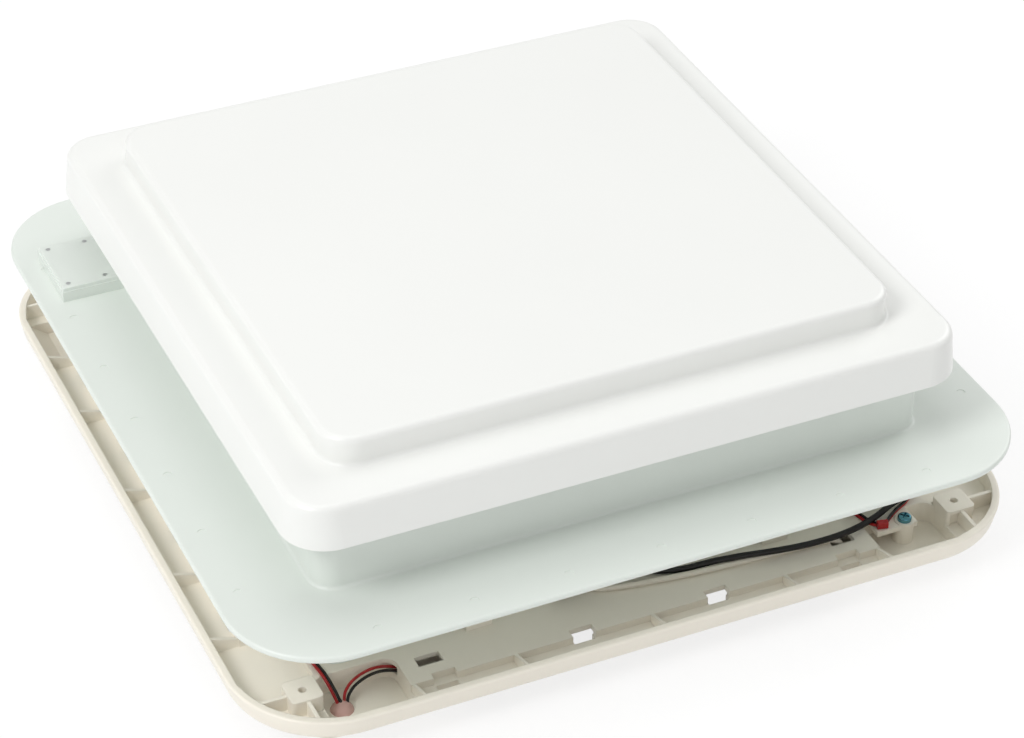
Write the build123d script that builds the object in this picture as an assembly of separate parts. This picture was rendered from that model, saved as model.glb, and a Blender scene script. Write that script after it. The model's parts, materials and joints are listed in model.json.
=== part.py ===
from build123d import *
import math
import os

os.makedirs("parts", exist_ok=True)

# Caravan roof vent, in millimetres. X runs to the right along the front edge, Y to the back, Z up.
# The origin is on the floor under the middle of the vent, which stands on its cabin trim.

# Roof flange with its collar above and its neck below
flange_side = 360.0
flange_corner = 42.0
flange_thickness = 3.0
flange_edge_round = 1.2
collar_side = 280.0
collar_corner = 10.0
collar_wall = 3.5
collar_foot_round = 1.5
roof_gap = 32.0
dimple_inset = 11.0
dimple_pitch = 42.0
dimple_r = 2.0
dimple_depth = 0.25
post_r = 5.5
post_inset = 7.5
post_pilot_r = 1.5
post_pilot_depth = 10.0
lead_notch_start = -36.0
lead_notch_end = 15.0
lead_notch_height = 9.5
side_notch_middle = 111.0
side_notch_width = 11.0

# Cable box on the back left of the flange
box_length = 38.0
box_middle_y = 116.5
box_overhang = 29.5
box_height = 5.2
box_wall = 2.5
box_cover_thickness = 1.8
box_cover_margin = 0.5
box_screw_inset = 4.0
box_screw_r = 0.8
box_screw_head_r = 1.1
box_pillar_r = 3.0
box_screw_head_height = 0.8
box_gland_r = 3.5

# Lid
skirt_side = 307.0
skirt_clearance = 31.5
skirt_depth = 19.5
shelf_side = 302.0
shelf_corner = 16.0
lid_wall = 2.5
lid_corner = 20.0
shelf_round = 3.2
plateau_side = 259.0
plateau_corner = 14.0
plateau_step = 13.0
plateau_round = 2.8
step_round = 1.8
seal_height = 4.5
seal_width = 8.0
seal_bore_r = 1.3
seal_rib = 1.6
seal_rib_drop = 2.4
seal_rib_clearance = 0.3

# Lift bars, their guides and clamp knobs
lid_travel = 45.0
bar_width = 22.0
bar_thickness = 2.5
bar_tail = 5.0
bar_clearance = 0.3
foot_length = 20.0
foot_screw_r = 1.5
foot_screw_head_r = 3.2
foot_screw_head_height = 2.0
foot_screw_length = 10.0
foot_screw_offset = 6.0
boss_wall = 3.0
screw_play = 0.05
guide_base = 5.0
guide_height = 40.0
guide_rail = 4.0
guide_lip = 1.5
guide_lip_cover = 2.0
guide_tab = 8.0
guide_screw_r = 1.4
guide_screw_head_r = 2.6
guide_screw_head_height = 1.6
stud_r = 3.0
stud_play = 0.05
slot_play = 0.3
stud_height = 70.0
nut_r = 5.5
nut_thickness = 4.0
knob_r = 12.0
knob_thickness = 11.0
knob_neck_r = 7.0
knob_neck = 2.4
knob_flute_r = 3.0
knob_flutes = 8
knob_edge_round = 1.2

# Fan
shroud_plate = 2.5
shroud_play = 0.5
shroud_underside = 62.0
duct_r = 98.0
duct_wall = 2.5
duct_depth = 28.0
bar_bay_depth = 25.0
bar_bay_half_width = 24.0
cup_r = 20.0
cup_wall = 2.5
cup_height = 5.0
arm_width = 8.0
arm_height = 6.0
arm_overlap = 6.0
motor_r = 19.7
motor_height = 28.0
motor_cap_r = 7.0
motor_cap_height = 2.0
motor_edge_round = 1.5
shaft_r = 1.6
shaft_play = 0.05
shaft_seat = 6.0
shaft_drop = 24.0
blade_count = 5
blade_tip_gap = 4.0
blade_root_r = 13.0
blade_chord = 50.0
blade_thickness = 2.2
blade_camber = 5.0
blade_pitch_angle = 24.0
impeller_drop = 12.5
hub_r = 16.0
hub_height = 20.0
hub_wall = 2.2
hub_boss_r = 4.5
hub_round = 2.0
spinner_nut_r = 4.5
spinner_nut_height = 5.0
guard_wire_r = 1.25
guard_wire_drop = 1.7
guard_ear_height = 3.2
guard_ring_gap = 0.3
guard_first_ring_r = 20.0
guard_ring_count = 7
guard_spoke_count = 8
guard_seam_turn = 20.0
guard_ear_r = 4.0
guard_screw_r = 1.4
guard_screw_head_r = 2.8
guard_screw_head_height = 1.8
guard_screw_length = 8.0
shroud_screw_r = 1.45
shroud_screw_head_r = 3.4
shroud_screw_head_height = 2.2
shroud_screw_length = 9.0
lead_bay_half_width = 5.0
lead_bay_depth = 12.0

# Cabin trim
trim_side = 360.0
trim_corner = 45.0
trim_depth = 22.0
rim_wall = 3.5
rim_round = 1.0
trim_edge_round = 4.5
trim_draw = 2.2
trim_wall = 2.5
trough_width = 12.5
trough_drop = 8.5
deck_drop = 5.0
deck_corner = 26.0
neck_play = 0.6
neck_tab_at = 70.0
neck_tab_width = 12.0
neck_tab_wall = 2.0
neck_tab_height = 4.0
neck_tab_turns = [(0, -1), (0, 1), (90, 1), (180, -1), (180, 1), (270, -1)]
gusset_thickness = 1.6
gusset_inner_at = 63.0
gusset_outer_at = 108.6
gusset_drop = 0.7
clip_slot_at = 31.5
clip_slot_width = 9.5
clip_slot_lip = 0.6
clip_slot_drain = 5.6
clip_slot_inset = 1.0
clip_notch_width = 10.5
clip_notch_depth = 4.8
clip_short_notch_depth = 3.2
pocket_start = 110.0
pocket_back_line = 144.0
pocket_floor_rise = 7.0
pocket_round = 6.0
corner_hole_at = 153.0
corner_hole_r = 1.75
corner_block = 14.0
corner_block_drop = 0.8
corner_block_round = 2.0
corner_rib = 1.8
clip_window_inset = 1.6
clip_window_width = 4.5
clip_window_height = 6.0
clip_window_depth = 1.2
pod_start = 88.0
pod_end = 149.0
pod_outer_line = 160.5
pod_inner_line = 141.5
pod_corner = 46.0
chamber_depth = 4.5
chamber_margin = 3.0
tie_hole_at = 97.0
tie_hole_line = 152.0
tie_hole_length = 11.0
tie_hole_width = 6.0
pod_lead_hole_r = 3.4
end_passage_width = 5.5
end_passage_height = 4.0
pocket_boss_at = 129.0
pocket_boss_line = 152.0
pocket_boss_r = 4.4
pocket_boss_rise = 0.5
pocket_tab_start = 114.0
pocket_tab_end = 134.0
pocket_tab_reach = 11.0
pocket_screw_r = 1.5
pocket_screw_head_r = 3.1
pocket_screw_head_height = 2.2
pocket_screw_length = 9.0
pad_leg = 30.0
pad_screw_r = 1.5
pad_screw_hole_r = 2.1
pad_screw_head_r = 3.4
pad_screw_head_height = 2.0
pad_screw_length = 9.0
cross_slot_width = 0.9
cross_slot_depth = 1.0
cross_slot_share = 1.3

# Lamps
lens_play = 0.3
lens_thickness = 1.5
lens_recess = 0.5
lens_round = 2.0
board_thickness = 1.4
board_margin = 1.0
chip_length = 3.5
chip_width = 2.8
chip_height = 0.8
chip_count = 4
chip_pitch = 12.0
glue_r = 5.0
glue_height = 3.6

# Switches in their pod on the right side
switch_pod_rise = 6.0
switch_pod_middle = -40.0
switch_pod_length = 60.0
switch_pod_inner_line = 139.0
switch_pod_outer_line = 161.0
switch_end_gap = 2.0
switch_length = 19.0
switch_width = 13.0
switch_play = 0.2
switch_bezel = 1.2
switch_bezel_overhang = 1.0
switch_body_height = 11.0
switch_body_wall = 1.2
rocker_play = 0.3
rocker_throw_angle = 7.0
rocker_crown = 1.4
rocker_body = 4.0
rocker_pin_r = 1.2
rocker_pin_play = 0.05
switch_tab_width = 1.0
switch_tab_height = 3.0
switch_tab_length = 3.0

# Flyscreen
screen_play = 1.3
screen_thickness = 3.0
screen_rise = 0.2
screen_bar = 11.0
screen_corner_cut = 30.0
screen_mesh_thickness = 0.5
screen_mesh_lap = 3.0
screen_mesh_rise = 1.2
screen_hinge_at = 88.0
screen_hinge_line = 131.5
screen_ear = 6.0
screen_ear_play = 0.6
screen_pin_r = 1.0
screen_pin_play = 0.05
screen_pin_overlap = 6.0
screen_tab_width = 26.0
screen_tab_reach = 4.0
screen_tab_drop = 3.0

# Terminal block inside the neck
terminal_length = 24.0
terminal_depth = 9.5
terminal_height = 12.0
terminal_middle = -30.0
terminal_bottom = 26.0
terminal_screw_r = 1.6
terminal_screw_head_height = 1.0
terminal_pitch = 12.0

# Leads
fan_lead_d = 2.8
feed_lead_d = 2.6
lamp_lead_d = 1.3
lead_arc_share = 0.45
lead_pair_share = 1.08
tail_pair_share = 1.15
tail_pair_step = (0.6, -1.9, -0.9)
glue_places = [(-137.1, -155.8), (-156.0, 138.2), (156.0, 138.2)]
splice_start = (115.2, -152.0)
splice_end = (119.8, -153.1)
splice_width = 3.1
splice_height = 3.6
splice_round = 0.8

overrun = 1.0

# Levels above the floor
cabin_face = trim_depth - trough_drop - trim_wall
trough_floor = trim_depth - trough_drop
deck_top = trim_depth - deck_drop
deck_underside = deck_top - trim_wall
flange_underside = trim_depth + roof_gap
flange_top = flange_underside + flange_thickness
skirt_bottom = flange_top + skirt_clearance
shelf_top = skirt_bottom + skirt_depth
shelf_underside = shelf_top - lid_wall
lid_top = shelf_top + plateau_step
plateau_underside = lid_top - lid_wall
collar_top = shelf_underside - seal_height
shroud_top = shroud_underside + shroud_plate
cup_floor_top = shroud_top + cup_wall
duct_bottom = shroud_underside - duct_depth
impeller_middle = shroud_underside - impeller_drop
shaft_bottom = shroud_underside - shaft_drop
guard_middle = duct_bottom - guard_ring_gap - guard_wire_r

# Half widths from the middle of the vent
flange_half = flange_side / 2
neck_half = collar_side / 2
opening_half = neck_half - collar_wall
opening_corner = collar_corner - collar_wall
post_at = opening_half - post_inset
trim_half = trim_side / 2
rim_inner_half = trim_half - rim_wall
deck_half = rim_inner_half - trough_width
pocket_end = corner_hole_at - corner_block / 2
pocket_foot_line = pod_outer_line + 2 * trim_wall
duct_outer_r = duct_r + duct_wall
switch_pitch = switch_pod_length / 2 - switch_end_gap
bar_outer = opening_half - guide_base - bar_clearance
bar_inner = bar_outer - bar_thickness
bar_bottom = stud_height - lid_travel - stud_r - bar_tail
foot_top = collar_top
foot_underside = foot_top - bar_thickness
quarter_turns = [0, 90, 180, 270]
lamp_pod_turns = [0, 180]
switch_side_turn = 90


def block(x_span, y_span, z_span):
    """A box from its lowest to its highest corner."""
    size = [high - low for low, high in (x_span, y_span, z_span)]
    middle = [(high + low) / 2 for low, high in (x_span, y_span, z_span)]
    return Pos(*middle) * Box(*size)


def tower(side_x, side_y, corner, low, high):
    """An upright block with rounded corners about the middle of the vent."""
    return extrude(Plane.XY.offset(low) * RectangleRounded(side_x, side_y, corner), high - low)


def wall_ring(outer_half, outer_corner, inner_half, inner_corner, low, high):
    """A square ring with rounded corners."""
    outer = tower(2 * outer_half, 2 * outer_half, outer_corner, low, high)
    inner = tower(2 * inner_half, 2 * inner_half, inner_corner, low - overrun, high + overrun)
    return outer - inner


def rod(radius, low, high, x=0.0, y=0.0):
    """An upright cylinder between two levels."""
    return Pos(x, y, (low + high) / 2) * Cylinder(radius, high - low)


def rod_x(radius, start, end, y, z):
    """A cylinder along X."""
    return Pos((start + end) / 2, y, z) * Rot(0, 90, 0) * Cylinder(radius, abs(end - start))


def turned(shape, angle):
    """The shape turned about the vent's upright axis."""
    return Rot(0, 0, angle) * shape


def mirrored_x(shape):
    """The shape on the other side of the vent."""
    return mirror(shape, about=Plane.YZ)


def edges_at(shape, level):
    """The level edges of a shape at one height."""
    return shape.edges().filter_by_position(Axis.Z, level, level)


def pan_screw(shank_r, head_r, head_height, length):
    """A pan head screw, head upwards, its seat at the origin, with a cross recess."""
    head = rod(head_r, 0, head_height)
    head = fillet(edges_at(head, head_height), head_height / 2)
    slot_length = cross_slot_share * head_r
    slot = Pos(0, 0, head_height) * Box(slot_length, cross_slot_width, 2 * cross_slot_depth)
    return head + rod(shank_r, -length, 0) - slot - Rot(0, 0, 90) * slot


def lead(route, diameter):
    """A lead along straight runs joined by arcs as large as the runs allow."""
    points = [Vector(*point) for point in route]
    radii = []
    for before, at, after in zip(points, points[1:], points[2:]):
        arm_in = at - before
        arm_out = after - at
        turn = math.radians(arm_in.get_angle(arm_out))
        radii.append(lead_arc_share * min(arm_in.length, arm_out.length) / math.tan(turn / 2))
    path = FilletPolyline(*points, radius=radii)
    section = Plane(origin=path @ 0, z_dir=path % 0) * Circle(diameter / 2)
    tube = sweep(section, path=path)
    ideal = math.pi * diameter ** 2 / 4 * path.length
    print("lead", "length", round(path.length, 1), "smallest radius", round(min(radii), 1),
          "diameters", round(min(radii) / diameter, 1), "volume share", round(tube.volume / ideal, 4))
    return tube


def roof_flange():
    """Plate, collar and neck in one moulding, with corner posts inside the neck."""
    plate = tower(flange_side, flange_side, flange_corner, flange_underside, flange_top)
    plate = fillet(edges_at(plate, flange_top) + edges_at(plate, flange_underside), flange_edge_round)
    tube = tower(collar_side, collar_side, collar_corner, deck_top, collar_top)
    body = plate + tube
    foot_edges = [edge for edge in edges_at(body, flange_top)
                  if edge.bounding_box().max.X < flange_half - flange_corner / 2
                  and edge.bounding_box().min.X > flange_corner / 2 - flange_half
                  and edge.bounding_box().max.Y < flange_half - flange_corner / 2
                  and edge.bounding_box().min.Y > flange_corner / 2 - flange_half]
    body = fillet(foot_edges, collar_foot_round)
    body -= tower(2 * opening_half, 2 * opening_half, opening_corner, deck_top - overrun,
                  collar_top + overrun)
    for angle in quarter_turns:
        post = rod(post_r, deck_top, shroud_underside, post_at, post_at)
        post += block((post_at, opening_half + overrun), (post_at - post_r, post_at + post_r),
                      (deck_top, shroud_underside))
        post += block((post_at - post_r, post_at + post_r), (post_at, opening_half + overrun),
                      (deck_top, shroud_underside))
        post -= rod(post_pilot_r, deck_top - overrun, deck_top + post_pilot_depth, post_at, post_at)
        post -= rod(post_pilot_r, shroud_underside - post_pilot_depth, shroud_underside + overrun,
                    post_at, post_at)
        body += turned(post, angle)
    count = int((flange_half - flange_corner) // dimple_pitch)
    line = flange_half - dimple_inset
    for step in range(-count, count + 1):
        dimple = rod(dimple_r, flange_top - dimple_depth, flange_top + overrun, step * dimple_pitch, -line)
        for angle in quarter_turns:
            body -= turned(dimple, angle)
    notch_line = (-neck_half - overrun, -opening_half + overrun)
    notch_span = (deck_top - overrun, deck_top + lead_notch_height)
    body -= block((lead_notch_start, lead_notch_end), notch_line, notch_span)
    body -= block((side_notch_middle - side_notch_width / 2, side_notch_middle + side_notch_width / 2),
                  notch_line, notch_span)
    body -= bar_side_cuts()
    return body + cable_box_walls() - cable_box_cuts()


def bar_side_cuts():
    """Pilot holes of the guides' screws in the neck's side walls."""
    cuts = None
    for y, z in guide_screw_places():
        hole = rod_x(guide_screw_r + screw_play, opening_half - overrun,
                     opening_half + collar_wall - guide_screw_r / 2, y, z)
        hole += mirrored_x(hole)
        cuts = hole if cuts is None else cuts + hole
    return cuts


def cable_box_span():
    """Plan of the cable box, which stands against the collar's left side."""
    x_span = (-neck_half - box_overhang, -neck_half)
    y_span = (box_middle_y - box_length / 2, box_middle_y + box_length / 2)
    return x_span, y_span


def cable_box_walls():
    """Raised walls of the cable box, moulded with the flange."""
    x_span, y_span = cable_box_span()
    outer = block(x_span, y_span, (flange_top - flange_edge_round, flange_top + box_height))
    inner = block((x_span[0] + box_wall, x_span[1] - box_wall), (y_span[0] + box_wall, y_span[1] - box_wall),
                  (flange_top, flange_top + box_height + overrun))
    walls = outer - inner
    for x, y in cable_box_screw_places():
        walls += rod(box_pillar_r, flange_top, flange_top + box_height, x, y) & outer
    return walls


def cable_box_cuts():
    """Screw pilots and the cable's way through the flange."""
    cuts = rod(box_gland_r, flange_underside - overrun, flange_top + overrun,
               -neck_half - box_overhang / 2, box_middle_y)
    for x, y in cable_box_screw_places():
        cuts += rod(box_screw_r + screw_play, flange_top + overrun / 2,
                    flange_top + box_height + overrun, x, y)
    return cuts


def cable_box_screw_places():
    """Corner screws of the cable box."""
    x_span, y_span = cable_box_span()
    return [(x, y) for x in (x_span[0] + box_screw_inset, x_span[1] - 2 * box_screw_inset)
            for y in (y_span[0] + box_screw_inset, y_span[1] - box_screw_inset)]


def cable_box_cover():
    """Flat cover of the cable box."""
    x_span, y_span = cable_box_span()
    low = flange_top + box_height
    cover = block((x_span[0] + box_cover_margin, x_span[1] - box_cover_margin),
                  (y_span[0] + box_cover_margin, y_span[1] - box_cover_margin), (low,
                                                                                 low + box_cover_thickness))
    cover = fillet(edges_at(cover, low + box_cover_thickness), box_cover_margin)
    for x, y in cable_box_screw_places():
        cover -= rod(box_screw_r + screw_play, low - overrun, low + box_cover_thickness + overrun, x, y)
        cover -= rod(box_screw_head_r + screw_play, low + box_cover_thickness - box_screw_head_height,
                     low + box_cover_thickness + overrun, x, y)
    return cover


def cable_box_screws():
    """Four small flush screws."""
    top = flange_top + box_height + box_cover_thickness
    seat = top - box_screw_head_height
    return [rod(box_screw_head_r, seat, top, x, y) + rod(box_screw_r, flange_top + overrun, seat, x, y)
            for x, y in cable_box_screw_places()]


def lid_tiers(shrink, low):
    """The lid's two tiers, drawn in by a wall thickness for the inside."""
    foot_side = skirt_side - 2 * shrink
    shelf = shelf_side - 2 * shrink
    foot = Plane.XY.offset(low) * RectangleRounded(foot_side, foot_side, lid_corner - shrink)
    rim = Plane.XY.offset(shelf_top - shrink) * RectangleRounded(shelf, shelf, shelf_corner - shrink)
    base = loft([foot, rim])
    base = fillet(edges_at(base, shelf_top - shrink), shelf_round - shrink)
    top_side = plateau_side - 2 * shrink
    plateau = tower(top_side, top_side, plateau_corner - shrink, shelf_top - shrink - step_round,
                    lid_top - shrink)
    plateau = fillet(edges_at(plateau, lid_top - shrink), plateau_round - shrink / 2)
    both = base + plateau
    limit = top_side / 2 + shrink / 2
    foot_edges = [edge for edge in edges_at(both, shelf_top - shrink)
                  if max(abs(edge.bounding_box().max.X), abs(edge.bounding_box().min.X)) < limit
                  and max(abs(edge.bounding_box().max.Y), abs(edge.bounding_box().min.Y)) < limit]
    return fillet(foot_edges, step_round - shrink / 2)


def lid_boss_places():
    """Screw bosses that carry the lift bars' feet, on the right side."""
    reach = bar_outer - foot_length + foot_screw_head_r + screw_play
    return [(reach, -foot_screw_offset), (reach, foot_screw_offset)]


def lid_dome():
    """The lid's shell with its seal ribs and the bosses for the lift bars."""
    shell = lid_tiers(0.0, skirt_bottom)
    shell -= lid_tiers(lid_wall, skirt_bottom - overrun)
    seal_outer = neck_half + (seal_width - collar_wall) / 2
    seal_inner = seal_outer - seal_width
    for inner in (seal_outer + seal_rib_clearance, seal_inner - seal_rib_clearance - seal_rib):
        shell += wall_ring(inner + seal_rib, collar_corner, inner, collar_corner - seal_rib,
                           shelf_underside - seal_rib_drop, shelf_underside + lid_wall / 2)
    for x, y in lid_boss_places():
        boss = rod(foot_screw_r + boss_wall, foot_top, plateau_underside + lid_wall / 2, x, y)
        boss += block((x, x + foot_screw_r), (y - foot_screw_r, y + foot_screw_r),
                      (foot_top, plateau_underside + lid_wall / 2))
        boss -= rod(foot_screw_r + screw_play, foot_top - overrun,
                    foot_top + foot_screw_length + overrun, x, y)
        shell += boss + mirrored_x(boss)
    return shell


def lid_seal():
    """Hollow rubber seal between the lid and the collar's top."""
    outer = neck_half + (seal_width - collar_wall) / 2
    corner = collar_corner + (seal_width - collar_wall) / 2
    seal = wall_ring(outer, corner, outer - seal_width, corner - seal_width, collar_top, shelf_underside)
    middle = outer - seal_width / 2
    bore_low = collar_top + seal_height / 2 - seal_bore_r
    return seal - wall_ring(middle + seal_bore_r, corner - seal_width / 2 + seal_bore_r,
                            middle - seal_bore_r, corner - seal_width / 2 - seal_bore_r,
                            bore_low, bore_low + 2 * seal_bore_r)


def lift_bar():
    """Slotted bar of the right side, with its foot under the lid."""
    bar = block((bar_inner, bar_outer), (-bar_width / 2, bar_width / 2), (bar_bottom, foot_top))
    bar += block((bar_outer - foot_length, bar_outer), (-bar_width / 2, bar_width / 2),
                 (foot_underside, foot_top))
    slot_r = stud_r + slot_play
    slot = block((bar_inner - overrun, bar_outer + overrun), (-slot_r, slot_r),
                 (stud_height - lid_travel, stud_height))
    for level in (stud_height - lid_travel, stud_height):
        slot += rod_x(slot_r, bar_inner - overrun, bar_outer + overrun, 0, level)
    bar -= slot
    for x, y in lid_boss_places():
        bar -= rod(foot_screw_r + screw_play, foot_underside - overrun, foot_top + overrun, x, y)
    return bar


def lift_bar_screws():
    """Screws that hold the bars' feet under the lid."""
    screw = Rot(180, 0, 0) * pan_screw(foot_screw_r, foot_screw_head_r, foot_screw_head_height,
                                       foot_screw_length + bar_thickness)
    screws = [Pos(x, y, foot_underside) * screw for x, y in lid_boss_places()]
    return screws + [mirrored_x(each) for each in screws]


def guide_screw_places():
    """Screws of the right guide, as places along Y and Z."""
    reach = bar_width / 2 + bar_clearance + guide_rail + guide_tab / 2
    rise = guide_height / 2 - guide_tab / 2
    return [(y, stud_height + z) for y in (-reach, reach) for z in (-rise, rise)]


def guide_bracket():
    """Channel on the neck's right wall in which the lift bar slides."""
    rail_inner = bar_width / 2 + bar_clearance
    rail_outer = rail_inner + guide_rail
    half = guide_height / 2
    z_span = (stud_height - half, stud_height + half)
    lip_outer = bar_inner - bar_clearance
    bracket = block((opening_half - guide_base, opening_half),
                    (-rail_outer - guide_tab, rail_outer + guide_tab),
                    z_span)
    for side in (-1, 1):
        rail = sorted((side * rail_inner, side * rail_outer))
        lip = sorted((side * (rail_inner - guide_lip_cover), side * rail_outer))
        bracket += block((lip_outer - guide_lip, opening_half - overrun), rail, z_span)
        bracket += block((lip_outer - guide_lip, lip_outer), lip, z_span)
    bracket -= rod_x(stud_r + slot_play, opening_half - guide_base - overrun, opening_half + overrun, 0,
                     stud_height)
    nut = clamp_nut(screw_play)
    bracket -= nut + block((opening_half - overrun / 2, opening_half + overrun), (-nut_r, nut_r),
                           (stud_height - nut_r, stud_height + nut_r))
    for y, z in guide_screw_places():
        bracket -= rod_x(guide_screw_r + screw_play, opening_half - guide_base - overrun,
                         opening_half + overrun, y, z)
    return bracket


def clamp_nut(play):
    """Hexagon nut sunk in the back of a guide, drawn larger by a play for its pocket."""
    plane = Plane(origin=(opening_half - nut_thickness - play, 0, stud_height), z_dir=(1, 0, 0))
    return extrude(plane * RegularPolygon(nut_r + play, 6), nut_thickness + play)


def clamp_nuts():
    """The nuts that the clamp studs turn in."""
    nut = clamp_nut(0.0) - rod_x(stud_r + stud_play, opening_half - nut_thickness - overrun,
                                 opening_half + overrun, 0, stud_height)
    return [nut, mirrored_x(nut)]


def guide_screws():
    """Pan head screws of one guide bracket, through it into the neck's wall."""
    screw = pan_screw(guide_screw_r, guide_screw_head_r, guide_screw_head_height,
                      guide_base + collar_wall - guide_screw_r)
    return [Pos(opening_half - guide_base, y, z) * Rot(0, -90, 0) * screw for y, z in guide_screw_places()]


def clamp_knob():
    """Fluted knob of the right side, clear of the guide's lips."""
    face = bar_inner - bar_clearance
    grip_outer = face - guide_lip - knob_neck
    grip = rod_x(knob_r, grip_outer - knob_thickness, grip_outer, 0, stud_height)
    grip = fillet(grip.edges().filter_by(GeomType.CIRCLE), knob_edge_round)
    for step in range(knob_flutes):
        angle = step * 2 * math.pi / knob_flutes
        reach = knob_r + knob_flute_r / 2
        grip -= rod_x(knob_flute_r, grip_outer - knob_thickness - overrun, grip_outer + overrun,
                      reach * math.cos(angle), stud_height + reach * math.sin(angle))
    knob = grip + rod_x(knob_neck_r, grip_outer - overrun, face, 0, stud_height)
    return knob - rod_x(stud_r, grip_outer - knob_thickness / 2, face + overrun, 0, stud_height)


def clamp_stud():
    """Stud moulded into the right knob, through the bar's slot into the nut."""
    face = bar_inner - bar_clearance
    grip_outer = face - guide_lip - knob_neck
    return rod_x(stud_r, grip_outer - knob_thickness / 2, opening_half - screw_play, 0, stud_height)


def fan_shroud():
    """Plate with the duct ring, the four arms and the motor cup."""
    half = opening_half - shroud_play
    plate = tower(2 * half, 2 * half, opening_corner - shroud_play, shroud_underside, shroud_top)
    bay_start = opening_half - bar_bay_depth
    bay = block((bay_start, opening_half + overrun), (-bar_bay_half_width, bar_bay_half_width),
                (shroud_underside - overrun, shroud_top + overrun))
    plate -= bay + mirrored_x(bay)
    plate -= block((-lead_bay_half_width, lead_bay_half_width),
                   (-opening_half - overrun, lead_bay_depth - opening_half),
                   (shroud_underside - overrun, shroud_top + overrun))
    body = plate + rod(duct_outer_r, duct_bottom, shroud_top)
    for x, y in guard_ear_places():
        body += rod(guard_ear_r, duct_bottom, shroud_underside + overrun, x, y)
    body -= rod(duct_r, duct_bottom - overrun, shroud_top + overrun)
    for angle in quarter_turns:
        arm = block((cup_r, duct_r + arm_overlap), (-arm_width / 2, arm_width / 2),
                    (shroud_top, shroud_top + arm_height))
        body += turned(arm, angle)
    body += rod(cup_r + cup_wall, shroud_top, cup_floor_top + cup_height)
    body -= rod(cup_r, cup_floor_top, cup_floor_top + cup_height + overrun)
    body -= rod(shaft_r + overrun, shroud_top - overrun, cup_floor_top + overrun)
    for x, y in guard_ear_places():
        body -= rod(guard_screw_r + screw_play, duct_bottom - overrun,
                    duct_bottom + guard_screw_length + overrun, x, y)
    for angle in quarter_turns:
        body -= turned(rod(shroud_screw_r + screw_play, shroud_underside - overrun, shroud_top + overrun,
                           post_at, post_at), angle)
    return body


def shroud_screws():
    """Screws that hold the shroud on the neck's corner posts."""
    screw = pan_screw(shroud_screw_r, shroud_screw_head_r, shroud_screw_head_height,
                      shroud_plate + shroud_screw_length)
    return [turned(Pos(post_at, post_at, shroud_top) * screw, angle) for angle in quarter_turns]


def fan_motor():
    """Motor can in the cup, with its bearing boss and a blind bore for the shaft."""
    low = cup_floor_top
    can = rod(motor_r, low, low + motor_height)
    can = fillet(edges_at(can, low + motor_height), motor_edge_round)
    can += rod(motor_cap_r, low + motor_height - overrun, low + motor_height + motor_cap_height)
    return can - rod(shaft_r + shaft_play, low - overrun, low + shaft_seat)


def fan_shaft():
    """Steel shaft from the motor down through the impeller's hub."""
    return rod(shaft_r, shaft_bottom, cup_floor_top + shaft_seat - shaft_play)


def fan_blade():
    """One cambered blade, trimmed to the tip circle."""
    half = blade_chord / 2
    inner_rise = blade_camber - blade_thickness
    edge = blade_thickness / 4
    outline = Line((-half, -edge), (-half, edge)) + ThreePointArc((-half, edge), (0, blade_camber),
                                                                  (half, edge))
    outline += Line((half, edge), (half, -edge)) + ThreePointArc((half, -edge), (0, inner_rise),
                                                                 (-half, -edge))
    tip_r = duct_r - blade_tip_gap
    section = Plane(origin=(blade_root_r, 0, impeller_middle), x_dir=(0, 1, 0),
                    z_dir=(1, 0, 0)) * make_face(outline)
    raw = extrude(section, tip_r)
    raw = raw.rotate(Axis((0, 0, impeller_middle), (1, 0, 0)), blade_pitch_angle)
    band = rod(tip_r, impeller_middle - blade_chord, impeller_middle + blade_chord)
    return raw & band


def fan_impeller():
    """Hub cup with its blades."""
    low = impeller_middle - hub_height / 2
    high = impeller_middle + hub_height / 2
    hub = rod(hub_r, low, high)
    hub = fillet(edges_at(hub, low), hub_round)
    blades = [Rot(0, 0, step * 360 / blade_count) * fan_blade() for step in range(blade_count)]
    for blade in blades:
        hub += blade
    hub -= rod(hub_r - hub_wall, low + hub_wall, high + overrun)
    hub += rod(hub_boss_r, low, high - hub_wall)
    return hub - rod(shaft_r, low - overrun, high + overrun)


def spinner_nut():
    """Domed nut that holds the impeller on its shaft."""
    high = impeller_middle - hub_height / 2
    nut = rod(spinner_nut_r, high - spinner_nut_height, high)
    nut = fillet(edges_at(nut, high - spinner_nut_height), spinner_nut_r / 2)
    return nut - rod(shaft_r, shaft_bottom - shaft_play, high + overrun)


def guard_ear_places():
    """Screw ears of the finger guard, on the diagonals outside the duct."""
    reach = (duct_outer_r + guard_ear_r - overrun) * math.sqrt(0.5)
    return [(x, y) for x in (-reach, reach) for y in (-reach, reach)]


def finger_guard():
    """Wire rings on radial wires, with four ears under the duct."""
    outer_r = duct_r + duct_wall / 2
    pitch = (outer_r - guard_first_ring_r) / guard_ring_count
    rings = [Pos(0, 0, guard_middle) * Rot(0, 0, guard_seam_turn) * Torus(guard_first_ring_r + step * pitch, guard_wire_r)
             for step in range(guard_ring_count + 1)]
    spoke = rod_x(guard_wire_r, guard_first_ring_r - guard_wire_r / 2, outer_r, 0,
                  guard_middle - guard_wire_drop)
    wires = [Rot(0, 0, step * 360 / guard_spoke_count) * spoke for step in range(guard_spoke_count)]
    ears = [rod(guard_ear_r, duct_bottom - guard_ear_height, duct_bottom, x, y) for x,
            y in guard_ear_places()]
    guard = rings[0] + (rings[1:] + wires + ears)
    for x, y in guard_ear_places():
        guard -= rod(guard_screw_r + screw_play, duct_bottom - 2 * guard_ear_height,
                     duct_bottom + overrun, x, y)
    return guard


def guard_screws():
    """Screws of the finger guard, from below."""
    screw = Rot(180, 0, 0) * pan_screw(guard_screw_r, guard_screw_head_r, guard_screw_head_height,
                                       guard_screw_length + guard_ear_height)
    return [Pos(x, y, duct_bottom - guard_ear_height) * screw for x, y in guard_ear_places()]


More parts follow.
